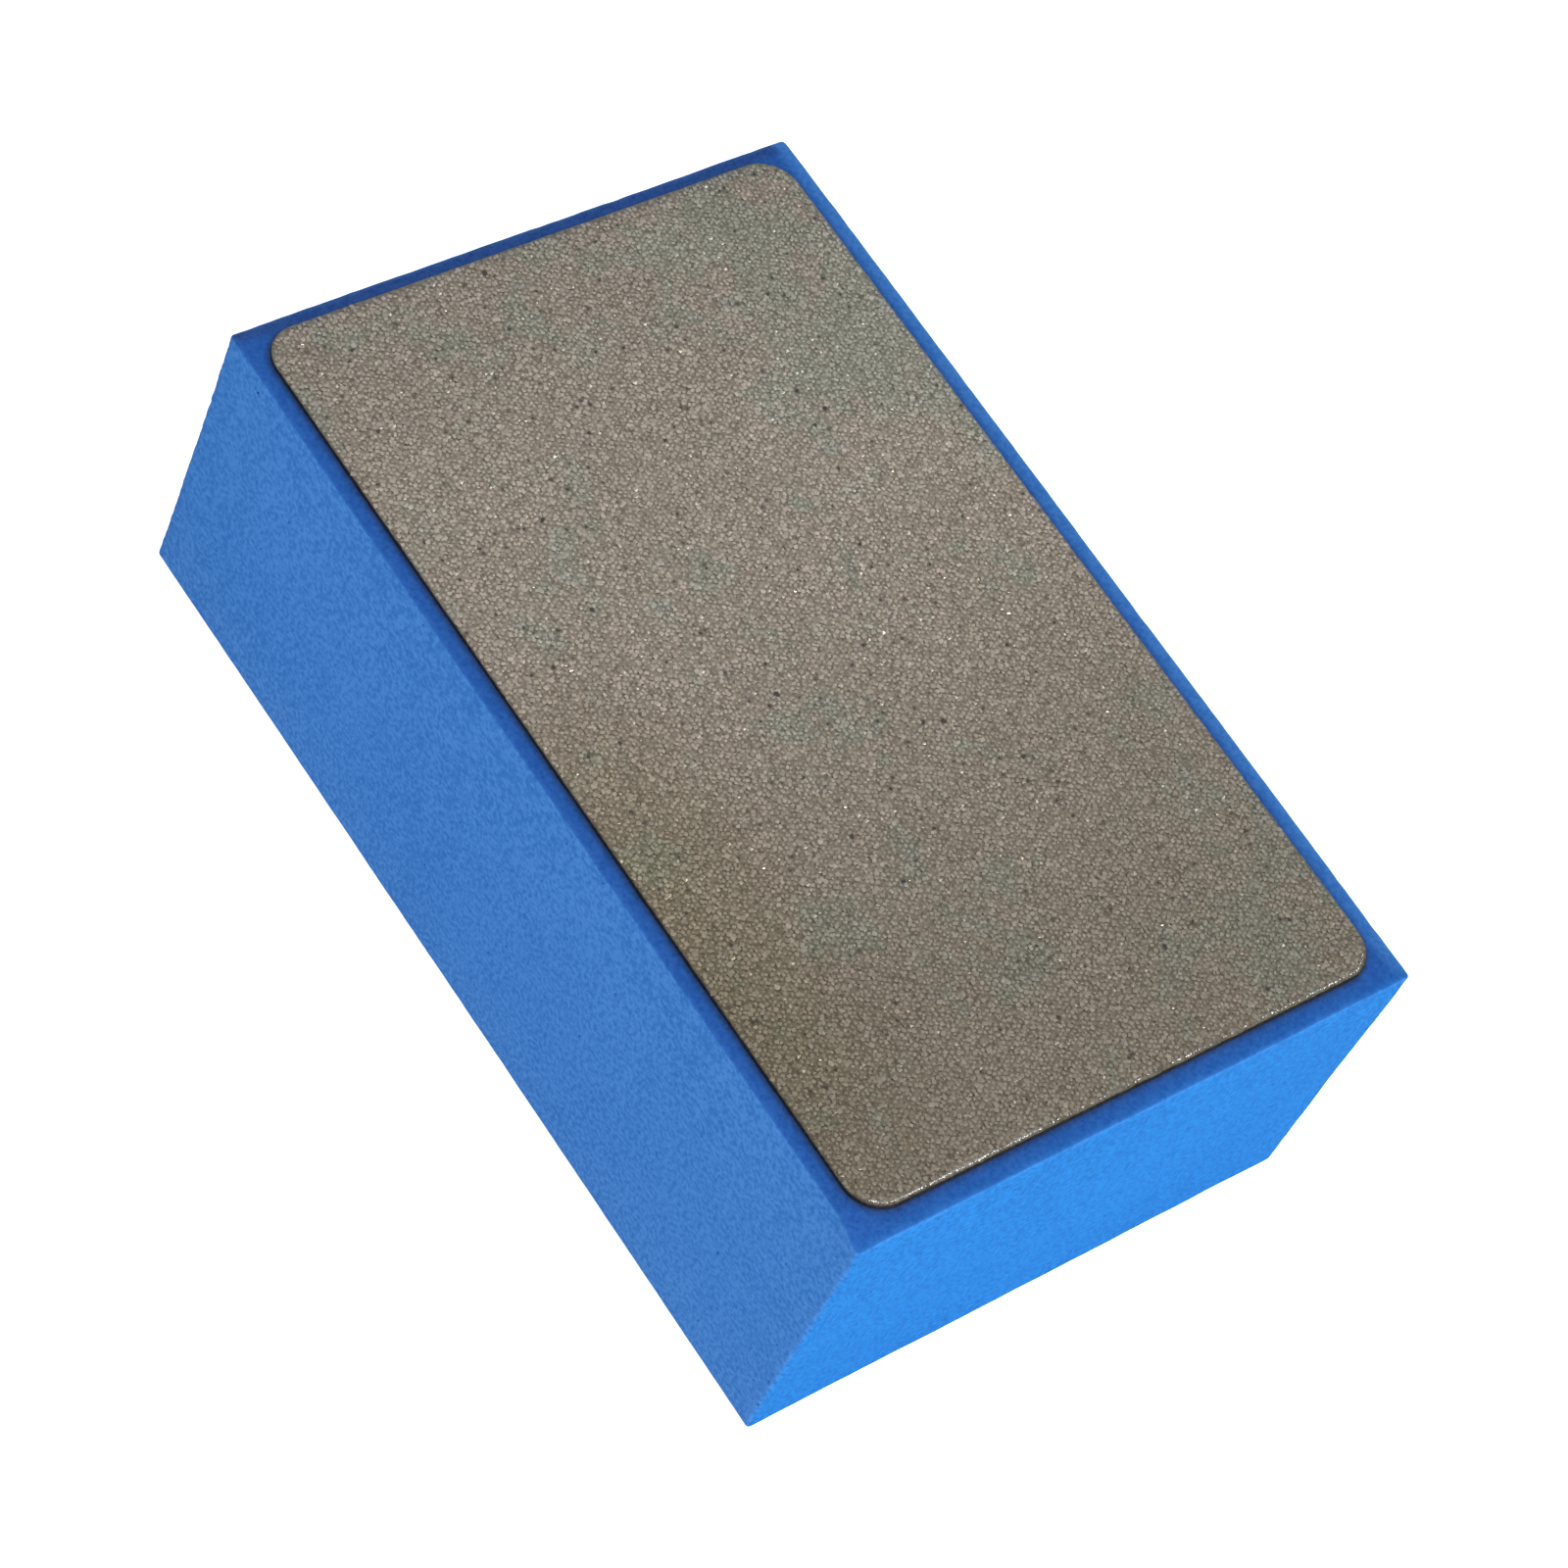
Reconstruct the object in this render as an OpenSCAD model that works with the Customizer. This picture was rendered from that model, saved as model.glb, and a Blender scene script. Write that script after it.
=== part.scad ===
// Foam-backed diamond sanding block for hand use.
// A closed-cell foam body carries a thin steel plate that is plated with nickel
// and diamond grit. The five layers are taped or plated together, so nothing in
// the block moves. X runs along the block, Y across it and +Z out of the grinding
// face. The origin is the centre of the foam's back, the face that rests on a bench.
// All sizes are millimetres.

/* [Foam body] */
// Length of the foam body along X
foam_length = 90; // [60:0.5:150]
// Width of the foam body along Y
foam_width = 55.5; // [40:0.5:100]
// Height of the foam body, from its back to the taped face
foam_height = 30; // [12:0.5:60]
// Radius of the four upright edges, left by the cutting blade
foam_corner_radius = 0.8; // [0.2:0.1:6]
// Radius of the edges round the back and round the taped face
foam_edge_radius = 0.5; // [0.2:0.1:1.2]

/* [Grinding plate] */
// Rim of bare foam beyond the plate at the -X end
rim_back = 1.3; // [0.8:0.05:6]
// Rim of bare foam beyond the plate at the +X end
rim_front = 1.8; // [0.8:0.05:6]
// Rim of bare foam beyond the plate at the -Y side
rim_left = 1.35; // [0.8:0.05:6]
// Rim of bare foam beyond the plate at the +Y side
rim_right = 1.75; // [0.8:0.05:6]
// Radius of the plate's corners
plate_radius = 3.3; // [1.2:0.1:12]

/* [Layers] */
// Thickness of the double-sided tape between the foam and the plate
tape_thickness = 0.2; // [0.05:0.01:1]
// How far the tape stops short of the plate's edge
tape_inset = 0.1; // [0.05:0.05:1]
// Thickness of the steel plate
steel_thickness = 0.2; // [0.1:0.01:2]
// Thickness of the nickel plating over the steel
nickel_thickness = 0.08; // [0.05:0.01:0.4]
// Thickness of the nickel plating down the steel's edge
skirt_thickness = 0.06; // [0.04:0.01:0.3]
// How far the diamond grit stands out of the nickel
grit_height = 0.12; // [0.03:0.01:0.5]
// How far the outermost grit stays inside the plated edge
grit_inset = 0.15; // [0.05:0.05:1]

/* [Hidden] */
$fn = 96;

// Outline and centre of the plated plate
plate_length = foam_length - rim_back - rim_front;
plate_width = foam_width - rim_left - rim_right;
plate_x = (rim_back - rim_front) / 2;
plate_y = (rim_left - rim_right) / 2;

// Underside of each layer above the tape
steel_z = foam_height + tape_thickness;
nickel_z = steel_z + steel_thickness;
grit_z = nickel_z + nickel_thickness;

// How far a cutting shape runs past the faces it crosses
overrun = 1;

// Rectangle with rounded corners, centred on the origin
module rounded_rect(length, width, radius) {
    square([length - 2 * radius, width], center = true);
    square([length, width - 2 * radius], center = true);
    for (x = [-1, 1], y = [-1, 1])
        translate([x * (length / 2 - radius), y * (width / 2 - radius)])
            circle(radius);
}

// Flat sheet with the plate's outline, its underside at z, drawn in by inset all round
module sheet(z, thickness, inset = 0) {
    translate([plate_x, plate_y, z])
        linear_extrude(thickness)
            rounded_rect(plate_length - 2 * inset, plate_width - 2 * inset,
                         plate_radius - inset);
}

// Level bar through the middle of the foam, its section turned to face along the bar
module foam_bar(turn, length, section_width) {
    translate([0, 0, foam_height / 2])
        rotate(turn)
            linear_extrude(length + 2 * overrun, center = true)
                rounded_rect(section_width, foam_height, foam_edge_radius);
}

// Closed-cell foam body: three crossed bars, so that all twelve edges are rounded
module foam_body() {
    color("royalblue")
        intersection() {
            linear_extrude(foam_height)
                rounded_rect(foam_length, foam_width, foam_corner_radius);
            // Along X
            foam_bar([90, 0, 90], foam_length, foam_width);
            // Along Y
            foam_bar([90, 0, 0], foam_width, foam_length);
        }
}

// Double-sided tape between the foam and the steel
module adhesive_tape() {
    color("darkslategray") sheet(foam_height, tape_thickness, tape_inset);
}

// Thin steel plate that keeps the grinding face flat
module steel_plate() {
    color("silver") sheet(steel_z, steel_thickness, skirt_thickness);
}

// Nickel plating: a skin over the steel's face that turns down over its edge
module nickel_plating() {
    color("dimgray")
        difference() {
            sheet(steel_z, steel_thickness + nickel_thickness);
            sheet(steel_z - overrun, steel_thickness + overrun, skirt_thickness);
        }
}

// One layer of diamond grains held in the nickel, drawn as the space they fill
module diamond_grit() {
    color("gray") sheet(grit_z, grit_height, grit_inset);
}

foam_body();
adhesive_tape();
steel_plate();
nickel_plating();
diamond_grit();
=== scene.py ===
"""A sharpening plate: a foam block with a steel plate taped on it, plated with nickel
and covered with one layer of diamond grit. The block lies on the floor with its long
side along X and the abrasive face up, towards +Z."""

import math

import bpy
import numpy as np
from mathutils import Matrix, Vector
from mathutils.geometry import delaunay_2d_cdt


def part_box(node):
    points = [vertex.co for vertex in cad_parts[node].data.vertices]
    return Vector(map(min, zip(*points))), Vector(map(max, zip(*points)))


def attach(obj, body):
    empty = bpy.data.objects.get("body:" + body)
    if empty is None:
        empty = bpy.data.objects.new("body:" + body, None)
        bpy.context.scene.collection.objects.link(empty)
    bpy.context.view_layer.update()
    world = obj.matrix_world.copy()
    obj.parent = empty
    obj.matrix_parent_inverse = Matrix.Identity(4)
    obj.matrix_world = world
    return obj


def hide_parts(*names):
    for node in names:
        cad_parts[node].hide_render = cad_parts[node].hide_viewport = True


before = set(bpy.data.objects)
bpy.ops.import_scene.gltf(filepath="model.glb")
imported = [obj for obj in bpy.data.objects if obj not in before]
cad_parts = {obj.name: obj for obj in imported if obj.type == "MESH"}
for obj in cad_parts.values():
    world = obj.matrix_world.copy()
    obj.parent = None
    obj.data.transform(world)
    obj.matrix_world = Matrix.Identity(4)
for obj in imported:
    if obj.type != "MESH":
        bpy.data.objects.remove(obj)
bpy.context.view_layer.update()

MM = 0.001  # pieces are worked out in millimetres, shaders and the stage in metres


def box_mm(node):
    lo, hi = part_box(node)
    return np.array(lo) * 1000, np.array(hi) * 1000


def rect_of(lo, hi):
    """A rectangle is (x0, x1, y0, y1) throughout."""
    return lo[0], hi[0], lo[1], hi[1]


foam_lo, foam_hi = box_mm("foam_body")
plate_lo, plate_hi = box_mm("nickel_plating")
tape_lo, tape_hi = box_mm("adhesive_tape")
steel_lo, steel_hi = box_mm("steel_plate")
grit_top = box_mm("diamond_grit")[1][2]
FOAM_RECT = rect_of(foam_lo, foam_hi)
PLATE_RECT = rect_of(plate_lo, plate_hi)
TAPE_RECT = rect_of(tape_lo, tape_hi)
PLATE_RADIUS = 3.3
TAPE_RADIUS = PLATE_RADIUS - 0.1


# ---------------------------------------------------------------- shape helpers


def noise(points, size, seed):
    """Smooth value noise from -1 to 1 at points, with cells of the given size."""
    scaled = np.asarray(points, float) / size + 31.7 * seed
    cell = np.floor(scaled).astype(np.int64)
    part = scaled - cell
    part = part * part * part * (part * (part * 6 - 15) + 10)
    total = np.zeros(len(scaled))
    for corner in np.ndindex(2, 2, 2):
        mixed = (cell + corner) @ np.array((374761393, 668265263, 1440670441))
        mixed = (mixed + seed * 974634777) & 0xFFFFFFFF
        mixed = ((mixed ^ (mixed >> 13)) * 1274126177) & 0xFFFFFFFF
        mixed = ((mixed ^ (mixed >> 16)) * 668265263) & 0xFFFFFFFF
        value = ((mixed >> 8) & 0xFFFF) / 32767.5 - 1
        total += value * np.where(corner, part, 1 - part).prod(axis=1)
    return total


def ramp01(values):
    return np.clip(values, 0, 1)


def at_height(points, z):
    """Flat points lifted to z, which is one height or one for each."""
    return np.column_stack([points, np.full(len(points), z)])


def polar(angles, radii):
    return np.stack([np.cos(angles) * radii, np.sin(angles) * radii], -1)


def inset(rect, by):
    x0, x1, y0, y1 = rect
    return x0 + by, x1 - by, y0 + by, y1 - by


def loop_points(rect, radii, step, corner_steps=None):
    """Rounded rectangle, counter-clockwise, as points and outward normals.
    radii is one radius, or one for each corner: +X+Y, -X+Y, -X-Y, +X-Y."""
    x0, x1, y0, y1 = rect
    radii = np.broadcast_to(radii, 4)
    corners = np.array(((x1, y1), (x0, y1), (x0, y0), (x1, y0)))
    inward = np.array(((-1, -1), (1, -1), (1, 1), (-1, 1)))
    centres = corners + inward * radii[:, None]
    points, normals = [], []
    for k in range(4):
        # arcs are divided 1.4 times as finely as the straights
        steps = corner_steps or int(math.ceil(radii[k] * math.pi / 2 / step * 1.4))
        for angle in np.radians(np.linspace(90 * k, 90 * k + 90, steps + 1)):
            way = np.array((math.cos(angle), math.sin(angle)))
            points.append(centres[k] + radii[k] * way)
            normals.append(way)
        following = (k + 1) % 4
        angle = math.radians(90 * following)
        way = np.array((math.cos(angle), math.sin(angle)))
        begin, end = points[-1], centres[following] + radii[following] * way
        pieces = int(round(np.linalg.norm(end - begin) / step))
        for j in range(1, pieces):
            points.append(begin + (end - begin) * j / pieces)
            normals.append(normals[-1])
    return np.array(points), np.array(normals)


def inside_rounded(points, rect, radius):
    """Distance from each point in to the edge of a rounded rectangle, negative outside."""
    x0, x1, y0, y1 = rect
    centre = np.array(((x0 + x1) / 2, (y0 + y1) / 2))
    half = np.array(((x1 - x0) / 2, (y1 - y0) / 2))
    past = np.abs(points - centre) - (half - radius)
    outer = np.linalg.norm(np.maximum(past, 0), axis=1)
    return radius - (outer + np.minimum(np.max(past, axis=1), 0))


def lattice(rect, step, rng, jitter=0.22):
    """Jittered points on a triangular lattice."""
    x0, x1, y0, y1 = rect
    rows = int((y1 - y0) / (step * 0.866)) + 2
    columns = int((x1 - x0) / step) + 2
    j, i = np.mgrid[0:rows, 0:columns]
    x = x0 + (i + 0.5 * (j % 2)) * step
    y = y0 + j * step * 0.866
    points = np.stack([x.ravel(), y.ravel()], 1)
    return points + rng.uniform(-jitter, jitter, points.shape) * step


def clear_of(points, centres, reach):
    """The points further than reach from every centre."""
    keep = np.ones(len(points), bool)
    for centre, gap in zip(centres, np.broadcast_to(reach, len(centres))):
        keep &= np.hypot(*(points - centre).T) > gap
    return points[keep]


def loop_edges(count, first=0):
    return [(first + i, first + (i + 1) % count) for i in range(count)]


def fill(points, edges):
    """Counter-clockwise triangles on the given points, inside closed loops of edges."""
    points = np.round(points, 4)
    made = delaunay_2d_cdt([Vector(p) for p in points.tolist()], edges, [], 1, 1e-7)
    sources = np.array([s[0] if len(s) else -1 for s in made[3]])
    triangles = sources[np.array(made[2])]
    triangles = triangles[(triangles >= 0).all(1)]
    a, b, c = (points[triangles[:, k]] for k in range(3))
    area = (b[:, 0] - a[:, 0]) * (c[:, 1] - a[:, 1])
    area -= (b[:, 1] - a[:, 1]) * (c[:, 0] - a[:, 0])
    return triangles[:, ::-1] if area.sum() < 0 else triangles


def ring_quads(a, b, count):
    """Quads between two closed loops of count vertices that start at index a and b."""
    i = np.arange(count)
    j = (i + 1) % count
    return np.stack([a + i, a + j, b + j, b + i], 1)


class Shell:
    """Vertices, each with one value, and faces, gathered piece by piece."""

    def __init__(self):
        self.points, self.values, self.faces = [], [], []
        self.count = 0

    def add(self, points, value=0.0):
        """Returns the index of the first new vertex."""
        self.points.append(points)
        self.values.append(np.full(len(points), value))
        self.count += len(points)
        return self.count - len(points)

    def add_faces(self, faces, flip=False):
        self.faces.append(faces[:, ::-1] if flip else faces)

    def stack(self, rings, values=None, flip=False):
        """Adds closed rings, each joined to the one before. Returns the first index."""
        first, count = self.count, len(rings[0])
        for k, ring in enumerate(rings):
            now = self.add(ring, values[k] if values else 0.0)
            if k:
                self.add_faces(ring_quads(now - count, now, count), flip)
        return first

    def cover(self, loop, first, inner, z, flip=False):
        """Fills a loop that exists from index first, with new inner points at z."""
        start = self.add(at_height(inner, z))
        index = np.concatenate([first + np.arange(len(loop)), start + np.arange(len(inner))])
        triangles = fill(np.concatenate([loop, inner]), loop_edges(len(loop)))
        self.add_faces(index[triangles], flip)
        return start


def make_mesh(name, points_mm, faces, smooth=True):
    """A mesh object in metres. faces is a list of arrays, each of triangles or of quads."""
    mesh = bpy.data.meshes.new(name)
    points = np.asarray(points_mm, float) * MM
    mesh.vertices.add(len(points))
    mesh.vertices.foreach_set("co", points.ravel())
    corners = np.concatenate([np.asarray(f, int).ravel() for f in faces])
    counts = np.concatenate([np.full(len(f), f.shape[1]) for f in faces])
    starts = np.concatenate([[0], np.cumsum(counts)[:-1]])
    mesh.loops.add(len(corners))
    mesh.loops.foreach_set("vertex_index", corners)
    mesh.polygons.add(len(counts))
    mesh.polygons.foreach_set("loop_start", starts)
    mesh.polygons.foreach_set("use_smooth", np.full(len(counts), smooth))
    mesh.update(calc_edges=True)
    mesh.validate()
    return link(name, mesh)


def link(name, data):
    obj = bpy.data.objects.new(name, data)
    bpy.context.scene.collection.objects.link(obj)
    return obj


def set_attribute(obj, name, values, domain="POINT"):
    attribute = obj.data.attributes.new(name, "FLOAT", domain)
    attribute.data.foreach_set("value", np.asarray(values, np.float32))


# ---------------------------------------------------------------- foam block

FOAM_BASE, FOAM_TOP = foam_lo[2], foam_hi[2]
FOAM_RADII = (0.34, 0.4, 0.36, 0.34)  # +X+Y, -X+Y, -X-Y, +X-Y
TOP_EDGE, BASE_EDGE = 0.17, 0.28  # radii of the rounded edges
EDGE_STEPS = 3
WALL_STEP = 0.42
WELL_SIDES = 8
# rings of an open cell: scale of its rim, part of its depth
WELL_LEVELS = ((0.9, 0.22), (0.72, 0.7), (0.36, 0.97))


def scatter_wells(rng, lo, hi, mean_radius, wanted, allowed):
    """Centres and radii of open cells in a flat area, kept apart from each other."""
    centres = rng.uniform(lo, hi, (wanted * 3, 2))
    radii = np.clip(rng.lognormal(math.log(mean_radius), 0.3, len(centres)), 0.05, 0.2)
    keep = allowed(centres, radii)
    centres, radii = centres[keep], radii[keep]
    chosen = []
    for k in range(len(centres)):
        apart = np.hypot(*(centres[chosen] - centres[k]).T)
        if (apart > radii[chosen] + radii[k] + 0.32).all():
            chosen.append(k)
        if len(chosen) == wanted:
            break
    return centres[chosen], radii[chosen]


def well_rims(rng, radii):
    """Uneven, squashed and turned rims, around the origin."""
    count = len(radii)
    angles = np.linspace(0, 2 * math.pi, WELL_SIDES, endpoint=False)
    angles = angles[None] + rng.uniform(0, 1, (count, 1))
    wobble = 1 + rng.uniform(-0.16, 0.16, (count, WELL_SIDES))
    squash = rng.uniform(0.75, 1.0, (count, 1))
    turn = rng.uniform(0, math.pi, (count, 1))
    x, y = np.cos(angles) * wobble, np.sin(angles) * wobble * squash
    x, y = x * np.cos(turn) - y * np.sin(turn), x * np.sin(turn) + y * np.cos(turn)
    return np.stack([x, y], -1) * radii[:, None, None]


class FoamShell(Shell):
    def __init__(self):
        super().__init__()
        self.rng = np.random.default_rng(664)
        self.line, self.normal = loop_points(FOAM_RECT, FOAM_RADII, 0.5, corner_steps=5)

    def add_edge(self, z, radius, side):
        """Rounded edge at height z; side is 1 for the top and -1 for the base.
        Returns where its wall loop and its cap loop start."""
        rings = []
        for k in range(EDGE_STEPS + 1):
            angle = math.pi / 2 * k / EDGE_STEPS
            ring = self.line - self.normal * (radius * (1 - math.cos(angle)))
            rings.append(at_height(ring, z - side * radius * (1 - math.sin(angle))))
        first = self.stack(rings, flip=side < 0)
        return first, first + EDGE_STEPS * len(self.line)

    def add_patch(self, inner, border, border_index, centres, rims, place, flip=False):
        """A flat area with wells in it. place(points, depth) gives 3D points; border is
        a closed loop whose vertices already exist."""
        rim = (centres[:, None] + rims).reshape(-1, 2)
        every = np.concatenate([border, rim, inner])
        before = len(border)
        edges = loop_edges(before)
        for k in range(len(centres)):
            edges += loop_edges(WELL_SIDES, before + k * WELL_SIDES)
        triangles = fill(every, edges)
        # the wells' own insides are filled too: drop them
        owner = np.full(len(every), -1)
        owner[before : before + len(rim)] = np.repeat(np.arange(len(centres)), WELL_SIDES)
        owners = owner[triangles]
        in_well = (owners[:, 0] >= 0) & (owners == owners[:, :1]).all(1)
        first = self.add(place(every[before:], 0.0))
        index = np.concatenate([border_index, first + np.arange(len(every) - before)])
        self.add_faces(index[triangles[~in_well]], flip)
        if len(centres):
            self.add_wells(first, centres, rims, place, flip)

    def add_wells(self, first, centres, rims, place, flip):
        """The insides of wells whose rims start at index first."""
        count = len(centres)
        depth = np.linalg.norm(rims, axis=2).mean(1) * self.rng.uniform(0.8, 1.5, count)
        grid = np.arange(count * WELL_SIDES).reshape(count, WELL_SIDES)
        last = first + grid
        for scale, down in WELL_LEVELS:
            ring = (centres[:, None] + rims * scale).reshape(-1, 2)
            placed = place(ring, np.repeat(depth * down, WELL_SIDES))
            # each ring's value grows with its depth; the foam's material turns it into painted
            # shade in the open cells
            now = self.add(placed, 0.35 + down * 0.65) + grid
            quads = [last, np.roll(last, -1, 1), np.roll(now, -1, 1), now]
            self.add_faces(np.stack(quads, -1).reshape(-1, 4), flip)
            last = now
        middle = self.add(place(centres, depth * 1.03), 1.0) + np.arange(count)
        fan = [last, np.roll(last, -1, 1), np.repeat(middle[:, None], WELL_SIDES, 1)]
        self.add_faces(np.stack(fan, -1).reshape(-1, 3), flip)

    def add_cap(self, first, z, radius, side, step, wanted, mean_radius):
        """The top (side 1) or base (side -1). The top is coarse and whole under the tape."""
        rng, is_top = self.rng, side > 0
        rect = inset(FOAM_RECT, radius)
        corner = min(FOAM_RADII) - radius

        def allowed(centres, radii):
            good = inside_rounded(centres, rect, corner) > radii + 0.3
            if is_top:
                good &= inside_rounded(centres, TAPE_RECT, TAPE_RADIUS) < -radii - 0.3
            return good

        centres, radii = scatter_wells(
            rng, foam_lo[:2], foam_hi[:2], mean_radius, wanted, allowed
        )
        rims = well_rims(rng, radii)
        inner = lattice(rect, step, rng)
        inner = inner[inside_rounded(inner, rect, corner) > step * 0.45]
        if is_top:
            coarse = lattice(rect, 2.6, rng)
            under = inside_rounded(inner, TAPE_RECT, PLATE_RADIUS)
            coarse_under = inside_rounded(coarse, TAPE_RECT, PLATE_RADIUS)
            inner = np.concatenate([inner[under < 0.6], coarse[coarse_under > 1.8]])
        inner = clear_of(inner, centres, radii * 1.1 + step * 0.4)

        def place(points, depth):
            return at_height(points, z - side * depth)

        border = self.line - self.normal * radius
        index = first + np.arange(len(border))
        self.add_patch(inner, border, index, centres, rims, place, not is_top)

    def add_wall(self, low_first, high_first):
        """The wall, unrolled into one strip of distance along the outline and height.
        Its seam is where the +X side meets the +X+Y corner."""
        line, normal, count = self.line, self.normal, len(self.line)
        pieces = np.linalg.norm(np.diff(line, axis=0), axis=1)
        reach = np.concatenate([[0], np.cumsum(pieces)])
        around = reach[-1] + np.linalg.norm(line[0] - line[-1])
        reach = np.append(reach, around)
        low, high = FOAM_BASE + BASE_EDGE, FOAM_TOP - TOP_EDGE

        def place(points, depth):
            along = np.mod(points[:, 0], around)
            k = np.searchsorted(reach[:-1], along, side="right") - 1
            following = (k + 1) % count
            part = ((along - reach[k]) / (reach[k + 1] - reach[k]))[:, None]
            spot = line[k] * (1 - part) + line[following] * part
            way = normal[k] * (1 - part) + normal[following] * part
            way /= np.linalg.norm(way, axis=1)[:, None]
            return np.column_stack([spot - way * np.reshape(depth, (-1, 1)), points[:, 1]])

        rows = int(round((high - low) / WALL_STEP)) + 1
        seam_z = np.linspace(low, high, rows)[1:-1]
        seam_start = np.column_stack([np.zeros(len(seam_z)), seam_z])
        seam_end = np.column_stack([np.full(len(seam_z), around), seam_z])
        seam_index = self.add(place(seam_start, 0.0)) + np.arange(len(seam_z))
        border = np.concatenate(
            [
                at_height(reach, low),
                seam_end,
                at_height(reach, high)[::-1],
                seam_start[::-1],
            ]
        )
        ring = np.arange(count + 1) % count
        border_index = np.concatenate(
            [low_first + ring, seam_index, (high_first + ring)[::-1], seam_index[::-1]]
        )

        def from_border(points):
            s, z = points.T
            sides = np.minimum(s, around - s), np.minimum(z - low, high - z)
            return np.minimum(*sides)

        centres, radii = scatter_wells(
            self.rng,
            np.array((0, low)),
            np.array((around, high)),
            mean_radius=0.078,
            wanted=200,
            allowed=lambda centres, radii: from_border(centres) > radii + 0.35,
        )
        rims = well_rims(self.rng, radii)
        inner = lattice((0, around, low, high), WALL_STEP, self.rng)
        inner = inner[from_border(inner) > WALL_STEP * 0.45]
        inner = clear_of(inner, centres, radii * 1.1 + WALL_STEP * 0.4)
        self.add_patch(inner, border, border_index, centres, rims, place)


def block_place(points):
    """Where points are in the block: -1 to 1 along X and Y, 0 to 1 up Z."""
    x0, x1, y0, y1 = FOAM_RECT
    along = (points[:, 0] - (x0 + x1) / 2) / ((x1 - x0) / 2)
    across = (points[:, 1] - (y0 + y1) / 2) / ((y1 - y0) / 2)
    return along, across, (points[:, 2] - FOAM_BASE) / (FOAM_TOP - FOAM_BASE)


def bend_foam(straight, pit):
    """The block as cut: bowed, out of square, rippled, nicked and pressed at a corner."""
    points = straight.copy()
    along, across, height = block_place(points)
    # nearness to the end and side walls, signed by which one
    side_x = ramp01(np.abs(along) * 8 - 7) * np.sign(along)
    side_y = ramp01(np.abs(across) * 6 - 5) * np.sign(across)
    # the walls lean with height, by up to 0.15 and 0.06, and curve in halfway up
    belly = np.sin(math.pi * height)
    bow_y = -0.15 * (1 - 0.5 * along**2) * height
    bow_x = -0.06 * (1 - 0.5 * across**2) * height * (along > 0)
    points[:, 1] -= side_y * (bow_y + 0.06 * belly)
    points[:, 0] -= side_x * (bow_x + 0.05 * belly)
    # out of square at the -X end
    flare = ramp01(np.abs(across) * 2 - 1) * np.sign(across) * ramp01(-along)
    points[:, 1] += 0.07 * flare
    points[:, 0] += ramp01(-along * 4 - 3) * (-0.06 - 0.05 * across)
    # the top waves where the plate leaves it free
    upper = ramp01((height - 0.97) * 33)
    free = ramp01(-inside_rounded(points[:, :2], TAPE_RECT, PLATE_RADIUS) / 0.5)
    points[:, 2] += upper * free * (0.035 * noise(points, size=9.0, seed=3) - 0.02)
    # soft ripple of the cut, then the skin's fine unevenness
    wall = np.maximum(np.abs(side_x), np.abs(side_y))
    ripple = 0.045 * noise(points, size=14.0, seed=5) + 0.02 * noise(points, size=4.5, seed=6)
    skin = 0.013 * noise(points, size=1.1, seed=7) + 0.007 * noise(points, size=0.55, seed=8)
    points[:, 0] += side_x * (ripple + skin)
    points[:, 1] += side_y * (ripple + skin)
    points[:, 2] += upper * free * skin * 0.9 * (1 - wall * 0.5)
    # the base is uneven between its wells
    lift = np.where((height < 0.001) & (pit == 0), np.abs(skin) * 0.5, 0.0)
    points[:, 2] += lift * (1 - ramp01(height * 12))
    # tiny nicks along the cut edges
    near_top = np.exp(-(((points[:, 2] - FOAM_TOP) / 0.5) ** 2)) * wall
    points[:, 2] -= near_top * ramp01(noise(points, size=2.3, seed=11) - 0.55) * 0.22
    # the +X -Y corner is pressed down and out
    corner = np.array((foam_hi[0], foam_lo[1], FOAM_TOP))
    reach = np.linalg.norm(points - corner, axis=1)
    points += np.exp(-((reach / 2.0) ** 2))[:, None] * np.array((0.0, -0.38, -0.45))
    return points


def edge_highlight(straight, bent):
    """How strong the painted highlight along each cut edge is: most on the +X and +Y edges,
    least on the -Y one.
    """
    lo, hi = foam_lo, foam_hi
    gaps = np.minimum(straight - lo, hi - straight)
    along, across, _ = block_place(straight)
    pale = ramp01(1 - (np.sort(gaps, axis=1)[:, 1] - 0.05) / 0.24)
    high = ramp01((bent[:, 2] - FOAM_TOP + 1.0) / 0.5)
    soft = high * ramp01(-across * 20 - 18.5)
    pale *= 1 - 0.7 * soft * ramp01((1 - along) * 60)
    pale *= 1 - 0.4 * (1 - high)
    plus_y = high * (across > 0) * ramp01(1 - (gaps[:, 1] - 0.1) / 0.45)
    return np.maximum(pale, 0.9 * plus_y)


def build_foam():
    shell = FoamShell()
    wall_top, cap_top = shell.add_edge(FOAM_TOP, TOP_EDGE, side=1)
    wall_base, cap_base = shell.add_edge(FOAM_BASE, BASE_EDGE, side=-1)
    shell.add_cap(
        cap_top, FOAM_TOP, TOP_EDGE, side=1, step=0.38, wanted=14, mean_radius=0.075
    )
    shell.add_cap(
        cap_base, FOAM_BASE, BASE_EDGE, side=-1, step=0.62, wanted=90, mean_radius=0.085
    )
    shell.add_wall(wall_base, wall_top)
    straight = np.concatenate(shell.points)
    pit = np.concatenate(shell.values)
    bent = bend_foam(straight, pit)
    obj = make_mesh("foam_block", bent, shell.faces)
    set_attribute(obj, "pit", pit)
    # painted highlight along the cut edges
    set_attribute(obj, "painted_edge_highlight", edge_highlight(straight, bent))
    return obj


# ---------------------------------------------------------------- tape


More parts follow.
